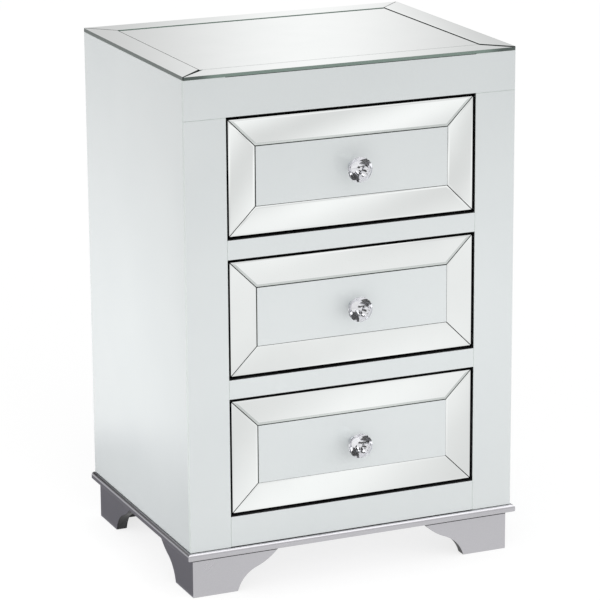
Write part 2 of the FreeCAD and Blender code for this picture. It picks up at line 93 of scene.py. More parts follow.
def silver_lacquer(name, dark, pale):
    """Silver lacquer, sprayed in coats: aluminium flake under satin clear coat, with faint orange peel.
    The flake is a twentieth of a millimetre across, drawn as grains of 1 mm so that it shows."""
    material, tree, place = blank_material(name)
    flake = add_node(tree, "TexNoise", {"Vector": place, "Scale": per_metre(1), "Detail": 2.0})
    tone = add_node(tree, "Mix", {0: flake.outputs["Fac"], 6: linear(dark), 7: linear(pale)},
                    data_type="RGBA")
    coats = add_node(tree, "TexNoise", {"Vector": place, "Scale": per_metre(35), "Detail": 2.0})
    rough = add_node(tree, "MapRange", {"Value": coats.outputs["Fac"], "To Min": 0.24, "To Max": 0.34})
    peel = add_node(tree, "TexNoise", {"Vector": place, "Scale": per_metre(3), "Detail": 1.0})
    bump = add_node(tree, "Bump", {"Height": peel.outputs["Fac"], "Strength": 0.1, "Distance": 0.0001})
    surface(tree, {"Base Color": tone.outputs[2], "Metallic": 0.95, "Roughness": rough.outputs["Result"],
                   "Normal": bump.outputs["Normal"]})
    return material


def merged(node):
    """A copy of a CAD node's mesh with its loose triangles joined."""
    bm = bmesh.new()
    bm.from_mesh(nodes[node].data)
    bmesh.ops.remove_doubles(bm, verts=bm.verts, dist=WELD)
    return bm


def make_piece(name, bm, finishes, body, slot, *stands_for, faceted=False):
    """Turn a bmesh into a piece that rides on a body and stands for CAD nodes."""
    mesh = bpy.data.meshes.new(name)
    for face in bm.faces:
        face.smooth = not faceted
    bm.to_mesh(mesh)
    bm.free()
    mesh.set_sharp_from_angle(angle=SHARP_ANGLE)
    for finish in finishes:
        mesh.materials.append(finish)
    piece = bpy.data.objects.new(name, mesh)
    bpy.context.scene.collection.objects.link(piece)
    if not faceted:
        even = piece.modifiers.new("even_shading", "WEIGHTED_NORMAL")
        even.keep_sharp = True
    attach(piece, body)
    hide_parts(*stands_for)


lacquer = silver_lacquer("sprayed_silver_lacquer", "#c3c2c6", "#d0cfd3")
# A darker copy of the lacquer, used as painted shade on the ledge beside the side glass.
ledge_shade_lacquer = silver_lacquer("silver_lacquer_painted_shade", "#78777b", "#848388")
board = merged("base_board")
glass_sides = (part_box("side_glass_left")[0].x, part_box("side_glass_right")[1].x)
for glass_side in glass_sides:
    bmesh.ops.bisect_plane(board, geom=[*board.verts, *board.edges, *board.faces], dist=WELD,
                           plane_co=(glass_side, 0, 0), plane_no=(1, 0, 0))
# Upward ledge faces outside the side glass take the darker lacquer as painted shade.
for face in board.faces:
    beside_glass = not glass_sides[0] < face.calc_center_median().x < glass_sides[1]
    on_ledge = face.normal.z > LEDGE_SLOPE and face.normal.y > -WELD
    face.material_index = 1 if beside_glass and on_ledge else 0
make_piece("lacquered_base_board", board, [lacquer, ledge_shade_lacquer], "case", "silver_lacquer", "base_board")

# Feet: four brackets, each two MDF boards mitred at the corner and sawn to a cove and a belly below.
# They are glued under the base board, rubbed smooth, and sprayed on their faces with the same lacquer. The
# sawn edges and the insides are black as painted shade, and a band at the top of each foot, just under the
# base board, is black as a painted shadow.
FOOT_EASE = 0.0009
FOOT_EASE_STEPS = 3
FOOT_SHADE_BAND = 0.004
FLAT_ANGLE = math.radians(0.5)
MITRE_SLOPE = 0.6
OUTER_SLOPE = 0.5


def ease(bm, width, steps):
    """Join flat triangles to whole faces, then round the sharp edges by this width."""
    bmesh.ops.dissolve_limit(bm, angle_limit=FLAT_ANGLE, verts=bm.verts, edges=bm.edges)
    sharp = [edge for edge in bm.edges if edge.calc_face_angle(0) > SHARP_ANGLE]
    bmesh.ops.bevel(bm, geom=sharp, offset=width, offset_type="OFFSET", affect="EDGES", segments=steps,
                    profile=0.5, material=-1, clamp_overlap=True)


def is_mitre(face):
    """The hidden faces where two foot boards meet stand at 45 degrees in plan."""
    return min(abs(face.normal.x), abs(face.normal.y)) > MITRE_SLOPE


def black_paint_and_shade():
    """Black cellulose paint on board: satin, in uneven coats, with a stipple from the roller.
    The stipple is half a millimetre across, drawn as grains of 4 mm so that it shows. On the feet it is also
    painted shade."""
    material, tree, place = blank_material("black_paint_and_painted_shade")
    stipple = add_node(tree, "TexNoise", {"Vector": place, "Scale": per_metre(4), "Detail": 3.0})
    coats = add_node(tree, "TexNoise", {"Vector": place, "Scale": per_metre(90), "Detail": 3.0})
    uneven = add_node(tree, "MapRange", {"Value": coats.outputs["Fac"], "From Min": 0.3, "From Max": 0.7})
    grain = add_node(tree, "MapRange", {"Value": stipple.outputs["Fac"], "From Min": 0.35, "From Max": 0.65})
    thin = add_node(tree, "Math", {0: uneven.outputs["Result"], 1: grain.outputs["Result"]},
                    operation="MULTIPLY")
    tone = add_node(tree, "Mix", {0: thin.outputs["Value"], 6: linear("#080809"), 7: linear("#2e2e31")},
                    data_type="RGBA")
    rough = add_node(tree, "MapRange", {"Value": uneven.outputs["Result"], "To Min": 0.42, "To Max": 0.62})
    bump = add_node(tree, "Bump", {"Height": stipple.outputs["Fac"], "Strength": 0.6, "Distance": 0.0006})
    surface(tree, {"Base Color": tone.outputs[2], "Roughness": rough.outputs["Result"],
                   "Normal": bump.outputs["Normal"]})
    return material


black = black_paint_and_shade()
for end, to_end in (("front", -1), ("rear", 1)):
    for side, to_side in (("left", -1), ("right", 1)):
        node = f"foot_{end}_{side}"
        foot = merged(node)
        bmesh.ops.delete(foot, geom=[face for face in foot.faces if is_mitre(face)], context="FACES")
        ease(foot, FOOT_EASE, FOOT_EASE_STEPS)
        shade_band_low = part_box(node)[1].z - FOOT_SHADE_BAND
        bmesh.ops.bisect_plane(foot, geom=[*foot.verts, *foot.edges, *foot.faces], plane_co=(0, 0, shade_band_low),
                               plane_no=(0, 0, 1))
        # Faces that don't face outwards, and the band at the top of the foot, take the black as painted
        # shade and shadow.
        for face in foot.faces:
            outward = max(face.normal.x * to_side, face.normal.y * to_end) > OUTER_SLOPE
            face.material_index = 0 if outward and face.calc_center_median().z < shade_band_low else 1
        make_piece(f"lacquered_{node}", foot, [lacquer, black], "case", "silver_lacquer", node)

# Runners: planed beech, waxed. They carry the drawers in grooves, and are glued and pinned to packers
# that bring them out from the case sides.
BEECH_ALONG = 0.08


def planed_beech():
    """Beech, planed: pale pinkish brown with short dark flecks along the grain and a dull sheen."""
    material, tree, place = blank_material("planed_beech")
    along = add_node(tree, "Mapping", {"Vector": place, "Scale": (1.0, BEECH_ALONG, 1.0)})
    grain = add_node(tree, "TexNoise", {"Vector": along.outputs["Vector"], "Scale": per_metre(5),
                                        "Detail": 4.0})
    fleck = add_node(tree, "TexVoronoi", {"Vector": along.outputs["Vector"], "Scale": per_metre(2.2)})
    wood = add_node(tree, "Mix", {0: grain.outputs["Fac"], 6: linear("#b98f63"), 7: linear("#d8b68c")},
                    data_type="RGBA")
    mark = add_node(tree, "MapRange", {"Value": fleck.outputs["Distance"], "From Min": 0.0, "From Max": 0.25,
                                       "To Min": 0.35, "To Max": 0.0})
    tone = add_node(tree, "Mix", {0: mark.outputs["Result"], 6: wood.outputs[2], 7: linear("#7d5433")},
                    data_type="RGBA")
    bump = add_node(tree, "Bump", {"Height": grain.outputs["Fac"], "Strength": 0.3, "Distance": 0.0002})
    surface(tree, {"Base Color": tone.outputs[2], "Roughness": 0.55, "Normal": bump.outputs["Normal"]})
    return material


def dress(material, *names):
    """Give CAD nodes whose shape is right their finish."""
    for name in names:
        nodes[name].data.materials[0] = material


dress(planed_beech(), "drawer_runners")

# Case: sides, bottom, sub-top and back of board with a face frame of stiles and rails, all painted black.
# The boards are dowelled and glued. The runners' packers and the blocks glued in the feet are black too.
RAILS = ("bottom_rail", "lower_mid_rail", "upper_mid_rail", "top_rail")
dress(black, "side_panel_left", "side_panel_right", "stile_left", "stile_right", "bottom_panel", "sub_top",
      "back_panel", "runner_packers", "foot_glue_blocks", *RAILS)

# Back screws: six zinc-plated steel pan heads with a cross recess, driven through the back panel.
# Three go into the edge of the bottom and three into the edge of the sub-top.
BACK_HEAD = 0.0035
BACK_HEAD_DEPTH = 0.002
BACK_SHANK = 0.00175
SCREW_SIDES = 24
HEAD_FLAT = 0.6
HEAD_SHOULDER = (0.87, 0.85)
HEAD_BRIM = 0.45
SCREW_TIP = 0.1
CROSS_ARM = 0.18
CROSS_DEPTH = 0.6


def zinc_plate():
    """Zinc-plated steel, barrelled: bright grey metal with a faint yellow cast and dull patches."""
    material, tree, place = blank_material("zinc_plated_steel")
    patch = add_node(tree, "TexNoise", {"Vector": place, "Scale": per_metre(3), "Detail": 3.0})
    tone = add_node(tree, "Mix", {0: patch.outputs["Fac"], 6: linear("#9d9c95"), 7: linear("#c9c8c0")},
                    data_type="RGBA")
    rough = add_node(tree, "MapRange", {"Value": patch.outputs["Fac"], "To Min": 0.22, "To Max": 0.42})
    surface(tree, {"Base Color": tone.outputs[2], "Metallic": 1.0, "Roughness": rough.outputs["Result"]})
    return material


def cross_head_screw(bm, head, depth, shank, length, place):
    """A pan-head screw with its seat at the origin and its head upwards, then moved to its place."""
    shoulder = (head * HEAD_SHOULDER[0], depth * HEAD_SHOULDER[1])
    outline = ((head * HEAD_FLAT, depth), shoulder, (head, depth * HEAD_BRIM), (head, 0),
               (shank, 0), (shank, -length + shank), (shank * SCREW_TIP, -length))
    made = set(bm.verts)
    profile = [bm.verts.new((across, 0, up)) for across, up in outline]
    sides = [bm.edges.new(pair) for pair in zip(profile, profile[1:])]
    bmesh.ops.spin(bm, geom=profile + sides, axis=(0, 0, 1), cent=(0, 0, 0), angle=math.tau,
                   steps=SCREW_SIDES, use_merge=True)
    rims = [edge for edge in bm.edges if edge.is_boundary and not made.intersection(edge.verts)]
    bmesh.ops.edgeloop_fill(bm, edges=rims)
    arm = head * CROSS_ARM
    for normal in ((1, 0, 0), (0, 1, 0)):
        for reach in (-arm, arm):
            top = [face for face in bm.faces if abs(face.calc_center_median().z - depth) < WELD
                   and not made.intersection(face.verts)]
            around = {part for face in top for part in (*face.verts, *face.edges)}
            bmesh.ops.bisect_plane(bm, geom=top + list(around), plane_co=Vector(normal) * reach,
                                   plane_no=normal)
    recess = [face for face in bm.faces if abs(face.calc_center_median().z - depth) < WELD
              and min(abs(face.calc_center_median().x), abs(face.calc_center_median().y)) < arm
              and not made.intersection(face.verts)]
    sunk = bmesh.ops.extrude_face_region(bm, geom=recess)
    deep = [part for part in sunk["geom"] if isinstance(part, bmesh.types.BMVert)]
    bmesh.ops.translate(bm, verts=deep, vec=(0, 0, -depth * CROSS_DEPTH))
    bmesh.ops.transform(bm, matrix=place, verts=[vert for vert in bm.verts if vert not in made])


zinc = zinc_plate()
TURNED_TO_REAR = Matrix.Rotation(-math.pi / 2, 4, "X")
low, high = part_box("back_panel_screws")
length = high.y - low.y - BACK_HEAD_DEPTH
screws = bmesh.new()
for x in (low.x + BACK_HEAD, (low.x + high.x) / 2, high.x - BACK_HEAD):
    for z in (low.z + BACK_HEAD, high.z - BACK_HEAD):
        seat = Matrix.Translation((x, high.y - BACK_HEAD_DEPTH, z)) @ TURNED_TO_REAR
        cross_head_screw(screws, BACK_HEAD, BACK_HEAD_DEPTH, BACK_SHANK, length, seat)
bmesh.ops.recalc_face_normals(screws, faces=screws.faces)
make_piece("cross_head_back_screws", screws, [zinc], "case", "screw_steel", "back_panel_screws")

# White glass: 4 mm float glass painted white on its back, glued over the sides and the face frame.
# Each pane is cut to size, and its edges are seamed to a narrow pale arris. Those towards the drawers are
# painted black. The lowest panes stand just clear of the base board.
ARRIS = 0.0007
ARRIS_STEPS = 2
RIPPLE = 110
GLASS_IOR = 1.52
BASE_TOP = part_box("base_board")[1].z
BASE_GAP = 0.0003
BASE_NEAR = 0.002


def painted_glass():
    """Float glass with white paint behind it: a cool pale grey, polished, with a faint ripple."""
    material, tree, place = blank_material("back_painted_white_glass")
    paint = add_node(tree, "TexNoise", {"Vector": place, "Scale": per_metre(160), "Detail": 2.0})
    tone = add_node(tree, "Mix", {0: paint.outputs["Fac"], 6: linear("#dbe0e1"), 7: linear("#e3e7e7")},
                    data_type="RGBA")
    wiped = add_node(tree, "TexNoise", {"Vector": place, "Scale": per_metre(40), "Detail": 4.0})
    rough = add_node(tree, "MapRange", {"Value": wiped.outputs["Fac"], "To Min": 0.03, "To Max": 0.09})
    ripple = add_node(tree, "TexNoise", {"Vector": place, "Scale": per_metre(RIPPLE), "Detail": 0.0})
    bump = add_node(tree, "Bump", {"Height": ripple.outputs["Fac"], "Strength": 0.3, "Distance": 0.0003})
    surface(tree, {"Base Color": tone.outputs[2], "Roughness": rough.outputs["Result"], "IOR": GLASS_IOR,
                   "Normal": bump.outputs["Normal"]})
    return material


def seamed_edge():
    """The seamed edge of painted glass: white paint seen through ground glass, brighter and duller."""
    material, tree, place = blank_material("seamed_white_glass_edge")
    wheel = add_node(tree, "TexNoise", {"Vector": place, "Scale": per_metre(0.9), "Detail": 2.0})
    tone = add_node(tree, "Mix", {0: wheel.outputs["Fac"], 6: linear("#d8dfdd"), 7: linear("#e6ecea")},
                    data_type="RGBA")
    surface(tree, {"Base Color": tone.outputs[2], "Roughness": 0.35, "IOR": GLASS_IOR})
    return material


white_glass = painted_glass()
white_edge = seamed_edge()
TO_LEFT = Vector((-1, 0, 0))
TO_RIGHT = Vector((1, 0, 0))
TO_FRONT = Vector((0, -1, 0))
UPWARDS = Vector((0, 0, 1))
FACING = 0.98
LEANING = 0.3
OPENING = (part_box("stile_glass_left")[1].x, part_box("stile_glass_right")[0].x)


def pane(node, outward, body, edge, painted_sides=(), painted_from=FACING):
    """A glass pane in place of its CAD node: finished face outwards, ground edges round it.
    The edges on the painted sides are black, like the frame behind them, where they face the drawers."""
    bm = merged(node)
    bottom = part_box(node)[0].z
    if bottom < BASE_TOP + BASE_NEAR:
        lowest = [vert for vert in bm.verts if vert.co.z < bottom + WELD]
        bmesh.ops.translate(bm, verts=lowest, vec=(0, 0, BASE_TOP + BASE_GAP - bottom))
    ease(bm, ARRIS, ARRIS_STEPS)
    for end in OPENING:
        bmesh.ops.bisect_plane(bm, geom=[*bm.verts, *bm.edges, *bm.faces], dist=WELD, plane_co=(end, 0, 0),
                               plane_no=TO_RIGHT)
    for part in bm.faces:
        part.material_index = 0 if abs(part.normal.dot(outward)) > FACING else 1
        at_drawers = OPENING[0] - WELD < part.calc_center_median().x < OPENING[1] + WELD
        if at_drawers and any(part.normal.dot(side) > painted_from for side in painted_sides):
            part.material_index = 2
    make_piece(f"ground_{node}", bm, [white_glass, edge, black], body, "white_glass", node)


pane("side_glass_left", TO_LEFT, "case", white_edge)
pane("side_glass_right", TO_RIGHT, "case", white_edge)
pane("stile_glass_left", TO_FRONT, "case", white_edge, [TO_RIGHT])
pane("stile_glass_right", TO_FRONT, "case", white_edge, [TO_LEFT])
for rail in RAILS:
    pane(f"{rail}_glass", TO_FRONT, "case", white_edge, [UPWARDS, -UPWARDS], LEANING)

# Mirror top: a silvered glass pane inside four mitred strips, glued on the sub-top. The front strip lies
# level with the pane, the others are thicker, and the back and right ones have a shallow bevel.
# The front left mitre stands open, and the hidden edges are sealed dark.
BEVEL_WIDTH = 0.003
BEVEL_DROP = 0.0002
BEVEL_SLOPE = 0.03
FLAT_DROP = 0.00001
JOINT = 0.0011
GAPE = 0.0055
LEFT_DROP = 0.0004
LEFT_GAP = 0.0015
FRONT_GAP = 0.0003
CORNER_NEAR = 0.18
CORNER_FAR = 0.206


def silvered_glass():
    """Silvered float glass: a bright neutral mirror with a faint green cast and a slow ripple."""
    material, tree, place = blank_material("silvered_mirror_glass")
    wiped = add_node(tree, "TexNoise", {"Vector": place, "Scale": per_metre(50), "Detail": 4.0})
    tone = add_node(tree, "Mix", {0: wiped.outputs["Fac"], 6: linear("#f1f4f3"), 7: linear("#f8faf9")},
                    data_type="RGBA")
    rough = add_node(tree, "MapRange", {"Value": wiped.outputs["Fac"], "To Min": 0.015, "To Max": 0.05})
    ripple = add_node(tree, "TexNoise", {"Vector": place, "Scale": per_metre(RIPPLE), "Detail": 0.0})
    bump = add_node(tree, "Bump", {"Height": ripple.outputs["Fac"], "Strength": 0.3, "Distance": 0.0003})
    surface(tree, {"Base Color": tone.outputs[2], "Metallic": 1.0, "Roughness": rough.outputs["Result"],
                   "Normal": bump.outputs["Normal"]})
    return material


def mirror_bevel_in_shade():
    """The bevel of silvered glass, ground and polished by hand: a mirror greyer than the face, as painted
    shade on the bevels that face down.
    """
    material, tree, place = blank_material("mirror_bevel_painted_shade")
    stroke = add_node(tree, "TexNoise", {"Vector": place, "Scale": per_metre(6), "Detail": 3.0})
    tone = add_node(tree, "Mix", {0: stroke.outputs["Fac"], 6: linear("#cfd4d2"), 7: linear("#dde1df")},
                    data_type="RGBA")
    rough = add_node(tree, "MapRange", {"Value": stroke.outputs["Fac"], "To Min": 0.06, "To Max": 0.16})
    surface(tree, {"Base Color": tone.outputs[2], "Metallic": 1.0, "Roughness": rough.outputs["Result"]})
    return material


def ground_edge():
    """The ground edge of float glass: grey-green from the iron in it, with fine marks of the wheel.
    Towards the outer corners, and along the sides, it is darker."""
    material, tree, place = blank_material("ground_green_glass_edge")
    wheel = add_node(tree, "TexNoise", {"Vector": place, "Scale": per_metre(0.9), "Detail": 2.0})
    ground = add_node(tree, "Mix", {0: wheel.outputs["Fac"], 6: linear("#6c7d75"), 7: linear("#8a9d94")},
                      data_type="RGBA")
    split = add_node(tree, "SeparateXYZ", {"Vector": place})
    outward = add_node(tree, "Math", {0: split.outputs["X"]}, operation="ABSOLUTE")
    corner = add_node(tree, "MapRange", {"Value": outward.outputs["Value"], "From Min": CORNER_NEAR,
                                         "From Max": CORNER_FAR}, interpolation_type="SMOOTHSTEP")
    tone = add_node(tree, "Mix", {0: corner.outputs["Result"], 6: ground.outputs[2], 7: linear("#4d5854")},
                    data_type="RGBA")
    rough = add_node(tree, "MapRange", {"Value": wheel.outputs["Fac"], "To Min": 0.12, "To Max": 0.3})
    surface(tree, {"Base Color": tone.outputs[2], "Roughness": rough.outputs["Result"], "IOR": GLASS_IOR})
    return material


def sealed_edge():
    """The edge of a mirror brushed with dark sealer against damp: a matt blackish grey with brush marks."""
    material, tree, place = blank_material("sealed_mirror_edge")
    brush = add_node(tree, "TexNoise", {"Vector": place, "Scale": per_metre(1.5), "Detail": 2.0})
    tone = add_node(tree, "Mix", {0: brush.outputs["Fac"], 6: linear("#2b302f"), 7: linear("#454c4a")},
                    data_type="RGBA")
    surface(tree, {"Base Color": tone.outputs[2], "Roughness": 0.6})
    return material


silver_face = silvered_glass()
shaded_bevel = mirror_bevel_in_shade()
green_edge = ground_edge()
dark_edge = sealed_edge()


def bevelled_plate(bm, corners, thick, drop):
    """A plate that stands on z = 0 from its corners in plan, its face ground to a bevel of this drop."""
    back = bm.faces.new([bm.verts.new((x, y, 0)) for x, y in corners])
    raised = bmesh.ops.extrude_face_region(bm, geom=[back], use_keep_orig=True)
    lifted = [part for part in raised["geom"] if isinstance(part, bmesh.types.BMVert)]
    bmesh.ops.translate(bm, verts=lifted, vec=(0, 0, thick - drop))
    face = [part for part in raised["geom"] if isinstance(part, bmesh.types.BMFace)]
    bmesh.ops.inset_region(bm, faces=face, thickness=BEVEL_WIDTH, depth=drop, use_even_offset=True)


def border(bm, length, height, strip, cuts):
    """Four mitred strips round a pane, from the near one to the left one, with an open joint at each mitre.
    Each is cut to its thickness and bevel, and may be short by its gape inside its first mitre."""
    mitre = JOINT / math.sqrt(2)
    inner = strip - JOINT / 2
    for turn, (thick, drop, gape) in enumerate(cuts):
        run = (length, height)[turn % 2]
        made = set(bm.verts)
        corners = ((mitre, 0), (run - mitre, 0), (run - mitre - inner, inner), (mitre + inner + gape, inner))
        bevelled_plate(bm, corners, thick, drop)
        corner = ((0, 0, 0), (length, 0, 0), (length, height, 0), (0, height, 0))[turn]
        turned = Matrix.Translation(corner) @ Matrix.Rotation(turn * math.pi / 2, 4, "Z")
        bmesh.ops.transform(bm, matrix=turned, verts=[vert for vert in bm.verts if vert not in made])


def mirror_piece(name, bm, stand, outward, body, node, outer_edge):
    """Set mirror plates in place: silver on the face, their own edge outside, and sealer in the joints."""
    bmesh.ops.transform(bm, matrix=stand, verts=bm.verts)
    bmesh.ops.recalc_face_normals(bm, faces=bm.faces)
    low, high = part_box(node)
    for part in bm.faces:
        centre = part.calc_center_median()
        outside = min(abs(centre[axis] - corner[axis]) for corner in (low, high) for axis in range(3))
        part.material_index = 1 if outside < WELD or part.normal.dot(TO_FRONT) > FACING else 2
        if part.normal.dot(outward) > FACING:
            # Bevels facing down on the upper half take the greyer mirror as painted shade.
            downward = part.normal.z < -BEVEL_SLOPE and centre.z > (low.z + high.z) / 2
            part.material_index = 3 if downward else 0
    make_piece(name, bm, [silver_face, outer_edge, dark_edge, shaded_bevel], body, "mirror_glass", node)


strips_low, strips_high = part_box("top_mirror_strips")
pane_low, pane_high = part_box("top_mirror")
span = strips_high - strips_low
reach = pane_high - pane_low
strips = bmesh.new()
bevelled = (span.z, BEVEL_DROP, 0)
border(strips, span.x, span.y, pane_low.x - strips_low.x,
       ((reach.z, FLAT_DROP, GAPE), bevelled, bevelled, (span.z - LEFT_DROP, FLAT_DROP, 0)))
mirror_piece("bevelled_top_mirror_strips", strips, Matrix.Translation(strips_low), UPWARDS, "case",
             "top_mirror_strips", green_edge)
plate = bmesh.new()
plate_corners = ((LEFT_GAP, FRONT_GAP), (reach.x, FRONT_GAP), (reach.x, reach.y), (LEFT_GAP, reach.y))
bevelled_plate(plate, plate_corners, reach.z, FLAT_DROP)
mirror_piece("bevelled_top_mirror", plate, Matrix.Translation(pane_low), UPWARDS, "case", "top_mirror",
             green_edge)

# Drawers: a black front board, with sides, back and bottom of stained ply, rebated and glued together.
# The front carries a border of mirror strips round a white glass pane that stands a millimetre proud.
DRAWERS = ("lower", "middle", "upper")
PLY_ALONG = 0.06


def stained_ply():
    """Birch ply stained black-brown: dull, with the grain showing through along the length."""
    material, tree, place = blank_material("stained_birch_ply")
    along = add_node(tree, "Mapping", {"Vector": place, "Scale": (1.0, PLY_ALONG, 1.0)})
    grain = add_node(tree, "TexNoise", {"Vector": along.outputs["Vector"], "Scale": per_metre(3),
                                        "Detail": 5.0})
    tone = add_node(tree, "Mix", {0: grain.outputs["Fac"], 6: linear("#1b1816"), 7: linear("#3a332d")},
                    data_type="RGBA")
    bump = add_node(tree, "Bump", {"Height": grain.outputs["Fac"], "Strength": 0.3, "Distance": 0.0002})
    surface(tree, {"Base Color": tone.outputs[2], "Roughness": 0.6, "Normal": bump.outputs["Normal"]})
    return material


ply = stained_ply()
UPRIGHT = Matrix.Rotation(math.pi / 2, 4, "X")
for drawer in DRAWERS:
    body = f"{drawer}_drawer"
    dress(black, f"{drawer}_drawer_front")
    dress(ply, *(f"{drawer}_drawer_{part}" for part in ("side_left", "side_right", "bottom", "back")))
    low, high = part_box(f"{drawer}_drawer_mirror_strips")
    strip_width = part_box(f"{drawer}_drawer_glass")[0].x - low.x
    span = high - low
    strips = bmesh.new()
    border(strips, span.x, span.z, strip_width, ((span.y, BEVEL_DROP, 0),) * 4)
    stand = Matrix.Translation((low.x, high.y, low.z)) @ UPRIGHT
    mirror_piece(f"bevelled_{drawer}_drawer_strips", strips, stand, TO_FRONT, body,
                 f"{drawer}_drawer_mirror_strips", black)
    pane(f"{drawer}_drawer_glass", TO_FRONT, body, dark_edge)

# Knobs: a cut crystal glued in a chromed brass cup, held by a screw from behind the drawer front.
# The crystal is ground facet by facet: a table, a crown, a narrow girdle, and a pavilion silvered behind.
TABLE_RADIUS = 0.0071
STAR_RADIUS = 0.0098
GIRDLE_TOP = 0.0145
GIRDLE_FOOT = 0.012
HALF_RADIUS = 0.0097
FOOT_RADIUS = 0.0043
GLUE_LINE = 0.0002
PAVILION_SLOPE = 0.1
MAIN_FACETS = 8
GIRDLE_FACETS = 16
HALF_STEP = math.tau / GIRDLE_FACETS
KNOB_HEAD = 0.004
KNOB_HEAD_DEPTH = 0.0025
KNOB_SHANK = 0.002


def cut_crystal():
    """Lead crystal, cut and polished: clear and colourless, with black and white sparkle in its facets."""
    material, tree, place = blank_material("cut_lead_crystal")
    cloud = add_node(tree, "TexNoise", {"Vector": place, "Scale": per_metre(8), "Detail": 1.0})
    tone = add_node(tree, "Mix", {0: cloud.outputs["Fac"], 6: linear("#f8f9fb"), 7: linear("#ffffff")},
                    data_type="RGBA")
    surface(tree, {"Base Color": tone.outputs[2], "Roughness": 0.0, "IOR": 1.56,
                   "Transmission Weight": 1.0})
    return material


def silvering():
    """Silver on the back of the crystal: a bright mirror from the front, a little cloudy from behind."""
    material, tree, place = blank_material("silvered_crystal_back")
    cloud = add_node(tree, "TexNoise", {"Vector": place, "Scale": per_metre(3), "Detail": 2.0})
    tone = add_node(tree, "Mix", {0: cloud.outputs["Fac"], 6: linear("#ebebee"), 7: linear("#f5f5f7")},
                    data_type="RGBA")
    rough = add_node(tree, "MapRange", {"Value": cloud.outputs["Fac"], "To Min": 0.0, "To Max": 0.01})
    surface(tree, {"Base Color": tone.outputs[2], "Metallic": 1.0, "Roughness": rough.outputs["Result"]})
    return material


def chrome_plate():
    """Chromed brass, turned and buffed: a bright cool mirror with faint turning marks."""
    material, tree, place = blank_material("chromed_brass")
    marks = add_node(tree, "TexNoise", {"Vector": place, "Scale": per_metre(1.2), "Detail": 2.0})
    rough = add_node(tree, "MapRange", {"Value": marks.outputs["Fac"], "To Min": 0.04, "To Max": 0.12})
    surface(tree, {"Base Color": linear("#dcdee1"), "Metallic": 1.0, "Roughness": rough.outputs["Result"]})
    return material


def on_ridge(radius, inner, outer):
    """Height of a point between two main facets, each flat from its inner to its outer corner."""
    share = (radius * math.cos(HALF_STEP) - inner[0]) / (outer[0] - inner[0])
    return inner[1] + share * (outer[1] - inner[1])


crystal = cut_crystal()
silver_back = silvering()
chrome = chrome_plate()
for drawer in DRAWERS:
    low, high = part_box(f"{drawer}_knob_crystal")
    girdle = (high.x - low.x) / 2
    table = high.y - low.y
    star_height = on_ridge(STAR_RADIUS, (TABLE_RADIUS, table), (girdle, GIRDLE_TOP))
    half_height = on_ridge(HALF_RADIUS, (FOOT_RADIUS, GLUE_LINE), (girdle, GIRDLE_FOOT))
    rings = (
        (MAIN_FACETS, TABLE_RADIUS, table, 0),
        (MAIN_FACETS, STAR_RADIUS, star_height, HALF_STEP),
        (GIRDLE_FACETS, girdle, GIRDLE_TOP, 0),
        (GIRDLE_FACETS, girdle, GIRDLE_FOOT, 0),
        (MAIN_FACETS, HALF_RADIUS, half_height, HALF_STEP),
        (MAIN_FACETS, FOOT_RADIUS, GLUE_LINE, 0),
    )
    gem = bmesh.new()
    for count, radius, height, turn in rings:
        level = Matrix.Translation((0, 0, height)) @ Matrix.Rotation(turn, 4, "Z")
        bmesh.ops.create_circle(gem, segments=count, radius=radius, matrix=level)
    bmesh.ops.convex_hull(gem, input=gem.verts)
    bmesh.ops.dissolve_limit(gem, angle_limit=FLAT_ANGLE, verts=gem.verts, edges=gem.edges)
    bmesh.ops.recalc_face_normals(gem, faces=gem.faces)
    for part in gem.faces:
        part.material_index = 1 if part.normal.z < -PAVILION_SLOPE else 0
    centre = Vector(((low.x + high.x) / 2, high.y, (low.z + high.z) / 2))
    bmesh.ops.transform(gem, matrix=Matrix.Translation(centre) @ UPRIGHT, verts=gem.verts)
    make_piece(f"cut_{drawer}_knob_crystal", gem, [crystal, silver_back], f"{drawer}_drawer", "crystal",
               f"{drawer}_knob_crystal", faceted=True)
    dress(chrome, f"{drawer}_knob_base")
    low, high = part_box(f"{drawer}_knob_screw")
    length = high.y - low.y - KNOB_HEAD_DEPTH
    screw = bmesh.new()
    seat = Matrix.Translation((centre.x, high.y - KNOB_HEAD_DEPTH, centre.z)) @ TURNED_TO_REAR
    cross_head_screw(screw, KNOB_HEAD, KNOB_HEAD_DEPTH, KNOB_SHANK, length, seat)
    bmesh.ops.recalc_face_normals(screw, faces=screw.faces)
    make_piece(f"cross_head_{drawer}_knob_screw", screw, [zinc], f"{drawer}_drawer", "screw_steel",
               f"{drawer}_knob_screw")

# Floor: a plain white studio floor. To the eye it is white with the object's soft shadow. Mirrors see
# painted soft bands of light across it, and a painted shade of the object at its left, both made to glow.
FLOOR_REACH = 40
FLOOR_LIFT = 0.755
BAND_TURN = 38.6
BAND_STEP = 0.419
BAND_PHASE = 3.56
BAND_LIGHT = 0.885
BAND_SWING = 0.124
CALM_PLACE = -1.35
CALM_REACH = 0.71
NEAR_CALM = (-0.45, -0.3)
SHADE_OUTER = (-0.5, -0.33)
SHADE_INNER = (-0.223, -0.214)
SHADE_FRONT = (-0.157, -0.147)
SHADE_REAR = (0.4, 0.62)
SHADE_DEPTH = 0.785


